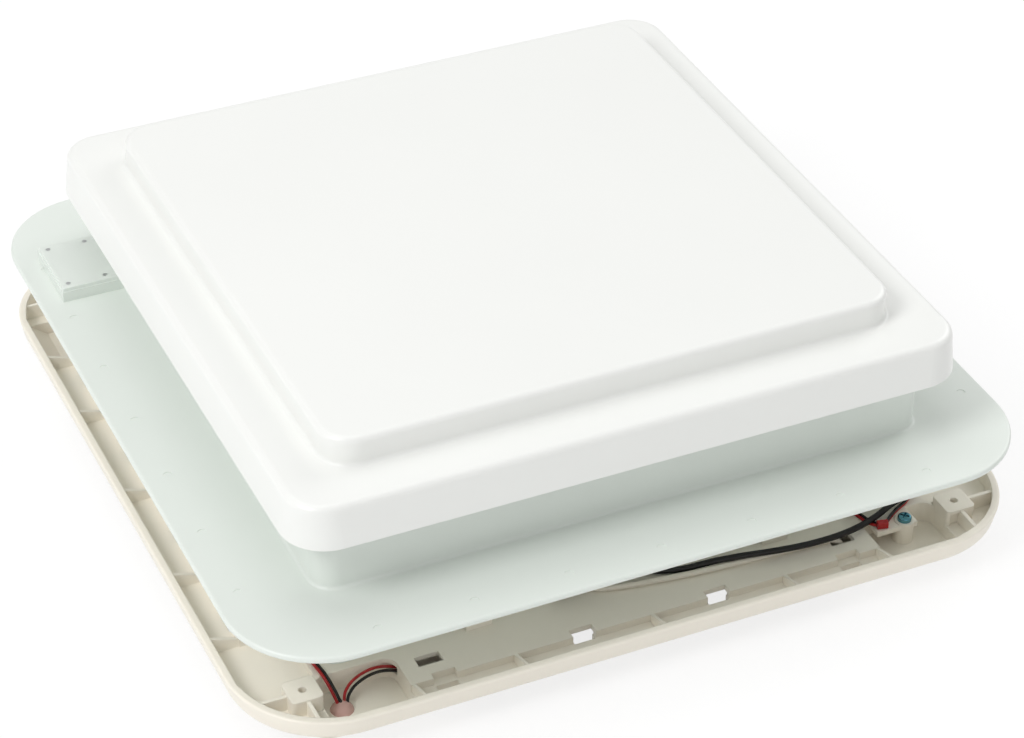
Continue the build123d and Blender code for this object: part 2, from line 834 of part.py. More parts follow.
def side_strip(start, end, outer_line, inner_line, low, high):
    """A block along the front side, between two lines measured from the middle."""
    return block((start, end), (-outer_line, -inner_line), (low, high))


def pod_outer():
    """Outside of a lamp pod at the right end of the front side, kept inside the rim's rounded corner."""
    outline = Polyline((-rim_inner_half, trough_floor), (-rim_inner_half, cabin_face + trim_wall / 2),
                       (-pod_outer_line, 0), (-pod_inner_line, 0), (-pod_inner_line, deck_top),
                       (-deck_half, deck_top), (-deck_half, trough_floor), close=True)
    face = Plane(origin=(pod_start, 0, 0), x_dir=(0, 1, 0), z_dir=(1, 0, 0)) * make_face(outline)
    plan = tower(2 * rim_inner_half, 2 * rim_inner_half, pod_corner, 0, deck_top)
    return extrude(face, pod_end - pod_start) & plan


def shallow_pocket():
    """Open pocket at the right end of the front side, down to the trough's floor."""
    length = pocket_end - pocket_start
    width = rim_inner_half - pocket_back_line
    middle = Pos(pocket_start + length / 2, -pocket_back_line - width / 2, trough_floor)
    return extrude(middle * RectangleRounded(length, width, pocket_round), trim_depth)


def deep_pocket():
    """The same pocket down to the lamp pod's floor, its outer side parallel to the pod's."""
    outline = Polyline((-rim_inner_half + trim_wall, trough_floor + overrun / 2),
                       (-rim_inner_half + trim_wall, trough_floor),
                       (-pocket_foot_line, pocket_floor_rise), (-pocket_back_line, pocket_floor_rise),
                       (-pocket_back_line, trough_floor + overrun / 2), close=True)
    face = Plane(origin=(pocket_start, 0, 0), x_dir=(0, 1, 0), z_dir=(1, 0, 0)) * make_face(outline)
    plan = Pos(0, 0, -trough_floor) * shallow_pocket()
    return shallow_pocket() + (extrude(face, pocket_end - pocket_start) & plan)


def lamp_pod_cuts():
    """Pocket, covered bay, lamp chamber and lead holes of a lamp pod."""
    floor = pocket_floor_rise
    cuts = deep_pocket()
    cuts += block((pod_start + trim_wall, pocket_start - trim_wall), (-pod_outer_line, -pocket_back_line),
                  (floor, deck_underside))
    cuts += block((pocket_start - trim_wall - overrun, pocket_start + pocket_round),
                  (-pocket_back_line - end_passage_width, -pocket_back_line),
                  (deck_underside - end_passage_height, deck_underside))
    cuts += block((tie_hole_at - tie_hole_length / 2, tie_hole_at + tie_hole_length / 2),
                  (-tie_hole_line - tie_hole_width / 2, -tie_hole_line + tie_hole_width / 2),
                  (deck_underside - overrun, trim_depth))
    cuts += lamp_chamber(0, -overrun, chamber_depth)
    cuts += rod(pod_lead_hole_r, chamber_depth - overrun, floor + overrun, tie_hole_at, -tie_hole_line)
    return cuts


def lamp_chamber(shrink, low, high):
    """Block that fills a lamp chamber, drawn in by a play all round."""
    x_span = (pod_start + chamber_margin + shrink, pod_end - chamber_margin - shrink)
    y_span = (-pod_outer_line + trim_wall + shrink, -pod_inner_line - trim_wall - shrink)
    return block(x_span, y_span, (low, high))


def lamp_places():
    """How each lamp pod is turned or mirrored from the right end of the front side."""
    return {
        "front_right": lambda shape: shape,
        "front_left": mirrored_x,
        "back_right": lambda shape: Rot(0, 0, 90) * shape,
        "back_left": lambda shape: mirrored_x(Rot(0, 0, 90) * shape),
    }


def shallow_places():
    """Turns of the front right pocket to the four corner ends that have no lamp."""
    front_end = turned(mirrored_x(shallow_pocket()), 90)
    back_end = turned(shallow_pocket(), 180)
    return [front_end, mirrored_x(front_end), back_end, mirrored_x(back_end)]


def gusset(at):
    """Web between the rim and the deck's edge on the front side."""
    outline = Polyline((-rim_inner_half - overrun, trough_floor - overrun),
                       (-rim_inner_half - overrun, trim_depth - gusset_drop),
                       (-rim_inner_half, trim_depth - gusset_drop),
                       (-deck_half + overrun / 2, deck_top), (-deck_half + overrun / 2,
                                                              trough_floor - overrun),
                       close=True)
    face = Plane(origin=(at - gusset_thickness / 2, 0, 0), x_dir=(0, 1, 0),
                 z_dir=(1, 0, 0)) * make_face(outline)
    return extrude(face, gusset_thickness)


def corner_block_shape():
    """Screw block of the front right corner with its two ribs, kept inside the rounded rim."""
    at = corner_hole_at
    half = corner_block / 2
    low = trough_floor - overrun / 2
    top = trim_depth - corner_block_drop
    body = block((at - half, at + half), (-at - half, -at + half), (low, top))
    body = fillet(body.edges().filter_by(Axis.Z), corner_block_round)
    rib_top = top - corner_block_drop
    body += block((at, rim_inner_half + overrun), (-at - corner_rib / 2, -at + corner_rib / 2), (low, rib_top))
    body += block((at - corner_rib / 2, at + corner_rib / 2), (-rim_inner_half - overrun, -at), (low, rib_top))
    reach = rim_inner_half + overrun / 2
    return body & tower(2 * reach, 2 * reach, trim_corner - rim_wall + overrun / 2, low, trim_depth)


def clip_slot(at, over_pod):
    """Slot for a clip in the deck's edge; over a pod it is in the trough instead."""
    start, end = at - clip_slot_width / 2, at + clip_slot_width / 2
    depth = clip_short_notch_depth if over_pod else clip_notch_depth
    notch = side_strip(at - clip_notch_width / 2, at + clip_notch_width / 2,
                       deck_half + overrun, deck_half - depth, trough_floor, trim_depth)
    if over_pod:
        trough_line = deck_half + clip_slot_inset
        return notch + side_strip(start, end, trough_line + clip_slot_drain, trough_line, -overrun,
                                  trim_depth)
    return notch + side_strip(start, end, deck_half + clip_slot_lip, deck_half - depth, -overrun, trim_depth)


def clip_window():
    """Small recess in the front face of the front right corner block."""
    start = corner_hole_at - corner_block / 2 + clip_window_inset
    face = -corner_hole_at - corner_block / 2
    return block((start, start + clip_window_width), (face - overrun / 2, face + clip_window_depth),
                 (trough_floor, trough_floor + clip_window_height))


def trim_skin():
    """Rim, trough, deck and opening of the trim, before the pods."""
    foot_side = trim_side - 2 * trim_draw
    foot = Plane.XY.offset(cabin_face) * RectangleRounded(foot_side, foot_side, trim_corner - trim_draw)
    rim = Plane.XY.offset(trim_depth) * RectangleRounded(trim_side, trim_side, trim_corner)
    skin = loft([foot, rim])
    skin = fillet(edges_at(skin, cabin_face), trim_edge_round)
    skin = fillet(edges_at(skin, trim_depth), rim_round)
    skin -= tower(2 * rim_inner_half, 2 * rim_inner_half, trim_corner - rim_wall, trough_floor,
                  trim_depth + overrun)
    skin += tower(2 * deck_half, 2 * deck_half, deck_corner, cabin_face, deck_top)
    skin -= tower(2 * opening_half, 2 * opening_half, opening_corner, cabin_face - overrun,
                  deck_top + overrun)
    for angle in quarter_turns:
        recess = side_strip(-pod_start, pod_start, deck_half - trim_wall, opening_half + trim_wall,
                            cabin_face - overrun, deck_underside)
        skin -= turned(recess, angle)
    for angle, side in neck_tab_turns:
        at = side * neck_tab_at
        tab = side_strip(at - neck_tab_width / 2, at + neck_tab_width / 2,
                         neck_half + neck_play + neck_tab_wall,
                         neck_half + neck_play, deck_top - overrun, deck_top + neck_tab_height)
        skin += turned(tab, angle)
    return skin


def trim_frame():
    """The cabin trim: one moulding that carries the lamps, switches and flyscreen."""
    body = trim_skin()
    pods = lamp_places()
    for place in pods.values():
        body += place(pod_outer())
    body += switch_pod()
    for angle in quarter_turns:
        corner_cut = block((pocket_end, rim_inner_half), (-rim_inner_half, -pocket_end),
                           (trough_floor, trim_depth + overrun))
        inner = tower(2 * rim_inner_half, 2 * rim_inner_half, trim_corner - rim_wall, trough_floor,
                      trim_depth + overrun)
        body -= turned(corner_cut & inner, angle)
    for place in pods.values():
        body -= place(lamp_pod_cuts())
    for pocket in shallow_places():
        body -= pocket
    body -= switch_pod_cuts()
    for angle in quarter_turns:
        for at in (0.0, gusset_inner_at, -gusset_inner_at, gusset_outer_at, -gusset_outer_at):
            body += turned(gusset(at), angle)
        for at in (clip_slot_at, -clip_slot_at, 3 * clip_slot_at, -3 * clip_slot_at):
            over_lamp = angle in lamp_pod_turns and abs(at) > pod_start
            over_pod = over_lamp or (angle, at) == (switch_side_turn, -clip_slot_at)
            body -= turned(clip_slot(at, over_pod), angle)
        body += turned(corner_block_shape(), angle)
        body += turned(corner_pad(), angle)
        hole = rod(corner_hole_r, cabin_face - overrun, trim_depth + overrun, corner_hole_at, -corner_hole_at)
        pad_hole = rod(pad_screw_hole_r, deck_underside - overrun, deck_top + overrun, post_at, -post_at)
        body -= turned(hole + pad_hole, angle)
    body += pocket_boss()
    body -= clip_window()
    for side in (-1, 1):
        ear = sorted((side * screen_hinge_at, side * (screen_hinge_at + screen_ear)))
        body += block(ear, (screen_hinge_line - screen_ear / 2, opening_half + overrun),
                      (cabin_face, deck_top))
        body -= rod_x(screen_pin_r + screen_pin_play, ear[0] - overrun, ear[1] + overrun,
                      screen_hinge_line, screen_hinge_level())
    return body


def corner_pad():
    """Triangular pad in the opening's corner, under the neck's post."""
    inner = opening_half - pad_leg
    outline = Polyline((opening_half + overrun, -opening_half - overrun), (opening_half + overrun, -inner),
                       (inner, -opening_half - overrun), close=True)
    pad = extrude(Plane.XY.offset(deck_underside) * make_face(outline), trim_wall)
    return pad & tower(2 * neck_half, 2 * neck_half, collar_corner, deck_underside, deck_top)


def pocket_boss():
    """Screw boss that stands in the front right pocket under a tab from its back wall."""
    top = deck_top + pocket_boss_rise
    boss = rod(pocket_boss_r, pocket_floor_rise - overrun, top, pocket_boss_at, -pocket_boss_line)
    boss += block((pocket_tab_start, pocket_tab_end),
                  (-pocket_back_line - pocket_tab_reach, -pocket_back_line + overrun),
                  (deck_underside, deck_top))
    return boss - rod(pocket_screw_r + screw_play, top - pocket_screw_length - overrun, top + overrun,
                      pocket_boss_at, -pocket_boss_line)


def pocket_screw():
    """Zinc plated cross head screw on the front right boss."""
    screw = pan_screw(pocket_screw_r, pocket_screw_head_r, pocket_screw_head_height, pocket_screw_length)
    return Pos(pocket_boss_at, -pocket_boss_line, deck_top + pocket_boss_rise) * Rot(0, 0, 45) * screw


def trim_screws():
    """Screws from the cabin side through the corner pads into the neck's posts."""
    screw = Rot(180, 0, 0) * pan_screw(pad_screw_r - screw_play, pad_screw_head_r, pad_screw_head_height,
                                       pad_screw_length + trim_wall)
    return [turned(Pos(post_at, post_at, deck_underside) * screw, angle) for angle in quarter_turns]


def lamp_board():
    """Board against the ceiling of the front right lamp chamber."""
    board = lamp_chamber(board_margin, chamber_depth - board_thickness, chamber_depth)
    return board - rod(pod_lead_hole_r / 2, 0, chamber_depth + overrun, tie_hole_at, -tie_hole_line)


def lamp_chips():
    """Light chips under one board."""
    middle_x = (pod_start + pod_end) / 2
    middle_y = -(pod_outer_line + neck_half) / 2
    low = chamber_depth - board_thickness - chip_height
    first = middle_x - (chip_count - 1) * chip_pitch / 2
    return [Pos(first + step * chip_pitch, middle_y, low + chip_height / 2) * Box(chip_length,
                                                                                  chip_width, chip_height)
            for step in range(chip_count)]


def lamp_lens():
    """Clear lens that closes the front right lamp chamber."""
    lens = lamp_chamber(lens_play, lens_recess, lens_recess + lens_thickness)
    lens = fillet(lens.edges().filter_by(Axis.Z), lens_round)
    return lens


def switch_pod_span():
    """Extent of the switch pod along Y."""
    return (switch_pod_middle - switch_pod_length / 2, switch_pod_middle + switch_pod_length / 2)


def switch_pod():
    """Box under the right side's deck that holds the two switches."""
    return block((switch_pod_inner_line, switch_pod_outer_line), switch_pod_span(),
                 (switch_pod_rise, deck_top))


def switch_pod_cuts():
    """The switch pod's hollow, open to the deck, and the two switch openings."""
    y_start, y_end = switch_pod_span()
    cuts = block((switch_pod_inner_line + trim_wall, switch_pod_outer_line - trim_wall),
                 (y_start + trim_wall, y_end - trim_wall), (switch_pod_rise + trim_wall, trim_depth))
    for y in switch_places().values():
        cuts += block((switch_middle() - switch_width / 2, switch_middle() + switch_width / 2),
                      (y - switch_length / 2, y + switch_length / 2),
                      (switch_pod_rise - overrun, switch_pod_rise + trim_wall + overrun))
    return cuts


def switch_middle():
    """Distance of the switches from the middle of the vent."""
    return (switch_pod_inner_line + switch_pod_outer_line) / 2


def switch_places():
    """Middle of each switch along Y."""
    return {"fan": switch_pod_middle - switch_pitch / 2, "light": switch_pod_middle + switch_pitch / 2}


def rocker_level():
    """Height of the rockers' axis."""
    return switch_pod_rise + trim_wall / 2


def switch_body(y):
    """Switch housing: bezel, hollow body, pivot holes and terminal tabs."""
    x = switch_middle()
    half_w = switch_width / 2 - switch_play
    half_l = switch_length / 2 - switch_play
    low = switch_pod_rise - switch_bezel
    top = switch_pod_rise + switch_body_height
    body = block((x - half_w, x + half_w), (y - half_l, y + half_l), (low, top))
    edge_w = switch_width / 2 + switch_bezel_overhang
    edge_l = switch_length / 2 + switch_bezel_overhang
    body += block((x - edge_w, x + edge_w), (y - edge_l, y + edge_l), (low, switch_pod_rise))
    body -= block((x - half_w + switch_body_wall, x + half_w - switch_body_wall),
                  (y - half_l + switch_body_wall, y + half_l - switch_body_wall),
                  (low - overrun, top - switch_body_wall))
    body -= rod_x(rocker_pin_r + rocker_pin_play, x - half_w + switch_body_wall / 3,
                  x + half_w - switch_body_wall / 3, y, rocker_level())
    for side in (-1, 1):
        tab_y = y + side * half_l / 2
        body += block((x - switch_tab_length / 2, x + switch_tab_length / 2),
                      (tab_y - switch_tab_width / 2, tab_y + switch_tab_width / 2),
                      (top - switch_body_wall / 2, top + switch_tab_height))
    return body


def switch_rocker(y):
    """Rocker with two slightly crowned halves, tipped to its off position."""
    x = switch_middle()
    wall = switch_play + switch_body_wall + rocker_play
    half_w = switch_width / 2 - wall
    half_l = switch_length / 2 - wall - rocker_play
    level = rocker_level()
    low = switch_pod_rise - switch_bezel - rocker_crown / 2
    outline = Polyline((y - half_l, low - rocker_crown), (y, low), (y + half_l, low - rocker_crown),
                       (y + half_l, level), (y + half_l / 2, level + rocker_body),
                       (y - half_l / 2, level + rocker_body), (y - half_l, level), close=True)
    face = Plane(origin=(x - half_w, 0, 0), x_dir=(0, 1, 0), z_dir=(1, 0, 0)) * make_face(outline)
    rocker = extrude(face, 2 * half_w)
    reach = switch_width / 2 - switch_play - switch_body_wall / 2
    rocker += rod_x(rocker_pin_r, x - reach, x + reach, y, level)
    return rocker.rotate(Axis((x, y, level), (1, 0, 0)), rocker_throw_angle)


def screen_hinge_level():
    """Height of the flyscreen's hinge axis."""
    return cabin_face + screen_rise + screen_thickness / 2


def flyscreen_frame():
    """Flat frame with cut corners that drops down on its back edge."""
    half = opening_half - screen_play
    low = cabin_face + screen_rise
    top = low + screen_thickness
    outline = Polyline(*cut_square(half, screen_corner_cut), close=True)
    inner = Polyline(*cut_square(half - screen_bar, screen_corner_cut - screen_bar / 2), close=True)
    frame = extrude(Plane.XY.offset(low) * make_face(outline), screen_thickness)
    frame -= extrude(Plane.XY.offset(low - overrun) * make_face(inner), screen_thickness + 2 * overrun)
    groove = Polyline(*cut_square(half - screen_bar + screen_mesh_lap,
                                  screen_corner_cut - screen_bar / 2), close=True)
    frame -= extrude(Plane.XY.offset(low + screen_mesh_rise) * make_face(groove), screen_mesh_thickness)
    frame += block((-screen_tab_width / 2, screen_tab_width / 2),
                   (-half + screen_bar - overrun, -half + screen_bar + screen_tab_reach),
                   (low - screen_tab_drop, low + screen_mesh_rise - screen_mesh_thickness))
    for side in (-1, 1):
        bay = sorted((side * (screen_hinge_at - screen_ear_play),
                      side * (screen_hinge_at + screen_ear + screen_ear_play)))
        frame -= block(bay, (screen_hinge_line - screen_ear / 2 - screen_ear_play, half + overrun),
                       (low - overrun, top + overrun))
        pin_start = screen_hinge_at - screen_ear_play - screen_pin_overlap
        pin_end = screen_hinge_at + screen_ear + screen_ear_play + screen_pin_overlap
        frame -= rod_x(screen_pin_r, *sorted((side * pin_start, side * pin_end)), screen_hinge_line,
                       screen_hinge_level())
    return frame


def cut_square(half, cut):
    """Corners of a square whose own corners are cut off."""
    inner = half - cut
    return [(inner, -half), (half, -inner), (half, inner), (inner, half),
            (-inner, half), (-half, inner), (-half, -inner), (-inner, -half)]


def flyscreen_mesh():
    """The screen's mesh as one thin sheet in the frame's groove."""
    half = opening_half - screen_play - screen_bar + screen_mesh_lap - slot_play
    sheet = make_face(Polyline(*cut_square(half, screen_corner_cut - screen_bar / 2), close=True))
    low = cabin_face + screen_rise + screen_mesh_rise
    return extrude(Plane.XY.offset(low) * sheet, screen_mesh_thickness)


def flyscreen_pins():
    """Two steel pins of the flyscreen's hinge."""
    start = screen_hinge_at - screen_ear_play - screen_pin_overlap
    end = screen_hinge_at + screen_ear + screen_ear_play + screen_pin_overlap
    pin = rod_x(screen_pin_r, start, end, screen_hinge_line, screen_hinge_level())
    return [pin, mirrored_x(pin)]


def terminal_block():
    """Two way terminal block on the neck's front wall."""
    body = block((terminal_middle - terminal_length / 2, terminal_middle + terminal_length / 2),
                 (-opening_half, terminal_depth - opening_half), (terminal_bottom,
                                                                  terminal_bottom + terminal_height))
    body = fillet(body.edges().filter_by(Axis.X).sort_by(Axis.Y)[-2:], overrun)
    for x in terminal_places():
        body -= Pos(x, terminal_depth - opening_half, terminal_bottom + terminal_height / 2) * Rot(90, 0,
                                                                                                   0) * Cylinder(
            terminal_screw_r + screw_play, 2 * terminal_screw_head_height + 2 * overrun)
    return body


def terminal_places():
    """The two ways of the terminal block along X."""
    return (terminal_middle - terminal_pitch / 2, terminal_middle + terminal_pitch / 2)


def terminal_screws():
    """Clamping screws in the terminal block's ways."""
    face = terminal_depth - opening_half
    return [Pos(x, face - overrun - terminal_screw_head_height / 2, terminal_bottom + terminal_height / 2)
            * Rot(90, 0, 0) * Cylinder(terminal_screw_r,
                                       terminal_screw_head_height) for x in terminal_places()]


def glue_dabs(held):
    """Low domes of hot glue on the pods' floors, moulded round the leads that they hold."""
    ball_r = (glue_r ** 2 + glue_height ** 2) / (2 * glue_height)
    dabs = []
    for x, y in glue_places:
        ball = Pos(x, y, pocket_floor_rise + glue_height - ball_r) * Sphere(ball_r)
        dab = ball & block((x - glue_r, x + glue_r), (y - glue_r, y + glue_r),
                           (pocket_floor_rise, pocket_floor_rise + glue_height))
        for each in held:
            dab -= each
        dabs.append(max(dab.solids(), key=lambda solid: solid.volume))
    return dabs


def lead_splice(held):
    """Crimp sleeve on the tab of the front right pocket, where the pair's parts meet."""
    angle = math.degrees(math.atan2(splice_end[1] - splice_start[1], splice_end[0] - splice_start[0]))
    length = math.dist(splice_start, splice_end)
    middle = [(start + end) / 2 for start, end in zip(splice_start, splice_end)]
    sleeve = Box(length, splice_width, splice_height)
    sleeve = fillet(sleeve.edges().filter_by(Axis.X), splice_round)
    sleeve = Pos(*middle, deck_top + splice_height / 2) * Rot(0, 0, angle) * sleeve
    for each in held:
        sleeve -= each
    return max(sleeve.solids(), key=lambda solid: solid.volume)


# Routes of the leads, chosen by hand
fan_lead_route = [(0, -20, 76.2), (0.3, -28, 75), (1, -39, 72.8), (1.8, -60, 72.1), (1.5, -88, 72.1),
                  (0.5, -110, 72),
                  (0, -123, 70), (0, -131, 63), (0.3, -133.6, 52), (0.3, -134, 41), (1, -134.1, 31),
                  (2.8, -134.9, 24.6), (7.5, -138.8, 20), (15.5, -142.4, 18.8), (25, -144.6, 18.6),
                  (37, -146.4, 20.1), (50, -149.5, 21.3), (64.5, -152.4, 21.3), (79, -154.2, 21.2),
                  (94, -154, 20.9), (107, -151.2, 20), (118, -147.5, 19.9), (127, -144.2, 21.5),
                  (136, -142.2, 21.9), (143.6, -136.8, 21.3), (147.4, -127, 20), (148, -113, 18.6),
                  (148, -95, 18.5), (148.6, -80, 18.7), (150, -69, 18.9), (150, -59.4, 18.6)]
feed_lead_route = [(-24, -130.4, 25.3), (-22.2, -132.6, 21.5), (-19.2, -136.4, 19.3), (-15.2, -141.4, 18.4),
                   (-4, -144.2, 18.4), (10, -146.2, 18.4), (28, -148.6, 18.4), (50, -149.9, 18.4), (70,
                                                                                                    -150.9, 18.4),
                   (82, -151.6, 18.5), (92, -152, 18.5), (96.3, -152, 16), (98.8, -152, 11.7), (98.8,
                                                                                                -152, 6.8)]
left_chain_route = [(-155.5, 136.5, 9.4), (-154, 131, 11.2), (-150.5, 122, 15.4), (-147, 112, 18),
                    (-145.5, 92, 17.8),
                    (-145.1, 60, 17.8), (-144.8, 20, 17.8), (-144.4, -20, 17.8), (-144.3, -60, 17.8),
                    (-143.8, -100, 17.8), (-143.2, -124, 17.8), (-142, -137, 18.1), (-141, -145, 18.1),
                    (-139.6, -151, 14), (-138.6, -155, 9.8)]
front_left_tail_route = [(-135.8, -155, 9.4), (-134.2, -151.4, 11.3), (-130.6, -148.6, 13.2),
                         (-125, -146.7, 14.6),
                         (-119, -145.8, 15), (-113.5, -145.6, 13.8), (-107.5, -146.8, 12),
                         (-102.5, -149.6, 10.6), (-99, -151.2, 8.2), (-98.2, -151.6, 5.6)]
front_right_tail_route = [(103, -131, 17.8), (107.4, -134.4, 17.8), (110.4, -139, 17.8), (111.8, -144, 17.8),
                          (113, -148.6, 17.8), (115.7, -152.2, 18.4)]
right_chain_route = [(118.8, -152.8, 18), (121.8, -150.2, 17.8), (125.6, -147.4, 17.8), (130.6, -144.6, 17.8),
                     (135.8, -142.1, 17.8), (140.2, -138.2, 17.8), (142.4, -131, 17.8), (142.9, -115, 17.8),
                     (142.9, -95, 17.8), (142.6, -80, 17.9), (142.5, -65.6, 17.9), (142.5, -58.5, 15.4),
                     (142.5, -49, 13.4), (142.5, -31, 13.4), (142.6, -21.5, 15.4), (142.9, -14.4, 17.95),
                     (143.5, 0, 17.8), (144, 20, 17.8), (144.5, 50, 17.8), (144.4, 80, 17.8), (145.2,
                                                                                               100, 17.8),
                     (147, 112, 18), (150.4, 122, 15.3), (154, 131, 11.2), (155.5, 136.5, 9.4)]


def shifted(route, step):
    """The route moved aside for the second lead of a pair."""
    return [tuple(value + move for value, move in zip(point, step)) for point in route]


def lamp_leads():
    """Red and black lead of each pair."""
    side = lead_pair_share * lamp_lead_d
    pairs = {"left_chain": (left_chain_route, (side, -side / 3, 0)),
             "front_left_tail": (front_left_tail_route, tail_pair_step),
             "front_right_tail": (front_right_tail_route, (tail_pair_share * side, side / 3, 0)),
             "right_chain": (right_chain_route, (side / 5, 0, side))}
    leads = {}
    for name, (route, step) in pairs.items():
        leads[name + "_red_lead"] = lead(route, lamp_lead_d)
        leads[name + "_black_lead"] = lead(shifted(route, step), lamp_lead_d)
    return leads


def save(name, shape):
    """Write one node, a single solid or a group of separate solids."""
    solids = shape if isinstance(shape, list) else [shape]
    solids = [solid for each in solids for solid in each.solids()]
    node = solids[0] if len(solids) == 1 else Compound(children=solids)
    export_step(node, os.path.join("parts", name + ".step"))


save("roof_flange", roof_flange())
save("cable_box_cover", cable_box_cover())
save("cable_box_screws", cable_box_screws())
save("lid_dome", lid_dome())
save("lid_seal", lid_seal())
save("lift_bar_screws", lift_bar_screws())
save("clamp_nuts", clamp_nuts())
for side_name, place in (("right", lambda shape: shape), ("left", mirrored_x)):
    save(side_name + "_lift_bar", place(lift_bar()))
    save(side_name + "_guide_bracket", place(guide_bracket()))
    save(side_name + "_guide_screws", [place(each) for each in guide_screws()])
    save(side_name + "_clamp_knob", place(clamp_knob()))
    save(side_name + "_clamp_stud", place(clamp_stud()))
save("fan_shroud", fan_shroud())
save("shroud_screws", shroud_screws())
save("fan_motor", fan_motor())
save("fan_shaft", fan_shaft())
save("fan_impeller", fan_impeller())
save("spinner_nut", spinner_nut())
save("finger_guard", finger_guard())
save("guard_screws", guard_screws())
save("trim_frame", trim_frame())
save("trim_screws", trim_screws())
save("pocket_screw", pocket_screw())
for lamp_name, place in lamp_places().items():
    save(lamp_name + "_lamp_board", place(lamp_board()))
    save(lamp_name + "_lamp_lens", place(lamp_lens()))
save("lamp_chips", [place(each) for place in lamp_places().values() for each in lamp_chips()])
for switch_name, switch_y in switch_places().items():
    save(switch_name + "_switch_body", switch_body(switch_y))
    save(switch_name + "_switch_rocker", switch_rocker(switch_y))
save("flyscreen_frame", flyscreen_frame())
save("flyscreen_mesh", flyscreen_mesh())
save("flyscreen_pins", flyscreen_pins())
save("terminal_block", terminal_block())
save("terminal_screws", terminal_screws())
save("fan_lead", lead(fan_lead_route, fan_lead_d))
save("feed_lead", lead(feed_lead_route, feed_lead_d))
lamp_lead_nodes = lamp_leads()
save("glue_dabs", glue_dabs(lamp_lead_nodes.values()))
save("lead_splice", lead_splice(lamp_lead_nodes.values()))
for lead_name, lead_shape in lamp_lead_nodes.items():
    save(lead_name, lead_shape)
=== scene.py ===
import json
import math
import bpy
from mathutils import Matrix, Vector

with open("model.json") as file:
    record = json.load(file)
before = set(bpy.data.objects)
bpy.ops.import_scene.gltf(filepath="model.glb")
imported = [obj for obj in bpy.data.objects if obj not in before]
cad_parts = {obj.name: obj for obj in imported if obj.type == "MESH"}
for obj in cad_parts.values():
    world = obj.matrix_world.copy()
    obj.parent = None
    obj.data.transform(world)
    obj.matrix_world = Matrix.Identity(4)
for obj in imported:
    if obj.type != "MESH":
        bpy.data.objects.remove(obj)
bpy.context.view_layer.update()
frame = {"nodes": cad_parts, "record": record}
cadNodes = frame["nodes"]
print("frame loaded:", len(cadNodes), "nodes")

white = (1.0, 1.0, 1.0, 1.0)
noiseMiddle = 0.5  # the level about which a noise node's output lies
edgeSamples = 6  # samples of the node that rounds sharp edges


class Value:
    # A shader socket: + - * and > on it add Math nodes.
    def __init__(self, nodes, source):
        self.nodes = nodes
        self.source = source

    def maths(self, operation, first, second=0.0):
        node = self.nodes.node("ShaderNodeMath", {"operation": operation}, {0: first, 1: second})
        return Value(self.nodes, node.outputs[0])

    def __add__(self, other):
        return self.maths("ADD", self, other)

    __radd__ = __add__

    def __sub__(self, other):
        return self.maths("SUBTRACT", self, other)

    def __rsub__(self, other):
        return self.maths("SUBTRACT", other, self)

    def __mul__(self, other):
        return self.maths("MULTIPLY", self, other)

    __rmul__ = __mul__

    def __gt__(self, other):
        return self.maths("GREATER_THAN", self, other)

    def wave(self):
        return self.maths("SINE", self)

    def larger(self, other):
        return self.maths("MAXIMUM", self, other)


class Nodes:
    # A node tree: node() adds any node, feed() links a socket or sets its constant.
    def __init__(self, tree):
        self.tree = tree

    def node(self, kind, settings=None, inputs=None):
        node = self.tree.nodes.new(kind)
        for name, value in (settings or {}).items():
            setattr(node, name, value)
        for name, value in (inputs or {}).items():
            self.feed(node.inputs[name], value)
        return node

    def feed(self, socket, value):
        source = value.source if isinstance(value, Value) else value
        if isinstance(source, bpy.types.NodeSocket):
            self.tree.links.new(source, socket)
        else:
            socket.default_value = source


class Finish(Nodes):
    # One material, whose surface is a Principled shader.
    def __init__(self, name, color, roughness, **constants):
        self.material = bpy.data.materials.new(name)
        self.material.use_nodes = True
        super().__init__(self.material.node_tree)
        self.surface = self.tree.nodes["Principled BSDF"]
        self.output = self.tree.nodes["Material Output"]
        self.set("Base Color", (*color, 1.0))
        self.set("Roughness", roughness)
        for socket, value in constants.items():
            self.set(socket, value)

    def set(self, socket, value):
        self.feed(self.surface.inputs[socket], value)

    def places(self):
        return self.node("ShaderNodeTexCoord").outputs["Object"]

    def noise(self, scale, detail=3.0):
        inputs = {"Vector": self.places(), "Scale": scale, "Detail": detail}
        return Value(self, self.node("ShaderNodeTexNoise", None, inputs).outputs["Fac"])

    def mixed(self, share, first, second):
        # Sockets 6 and 7 and output 2 are the Mix node's colours.
        inputs = {0: share, 6: (*first, 1.0), 7: (*second, 1.0)}
        return Value(self, self.node("ShaderNodeMix", {"data_type": "RGBA"}, inputs).outputs[2])

    def bump(self, height, distance, normal=None):
        inputs = {"Strength": 1.0, "Distance": distance, "Height": height}
        if normal is not None:
            inputs["Normal"] = normal
        self.set("Normal", self.node("ShaderNodeBump", None, inputs).outputs["Normal"])

    def softEdges(self, radius):
        node = self.node("ShaderNodeBevel", {"samples": edgeSamples}, {"Radius": radius})
        return node.outputs["Normal"]


def linear(*levels):
    # Screen levels from 0 to 255 as linear light, by the usual screen curve: straight, then a power.
    def light(level):
        share = level / 255
        return share / 12.92 if level <= 10 else ((share + 0.055) / 1.055) ** 2.4

    return tuple(light(level) for level in levels)


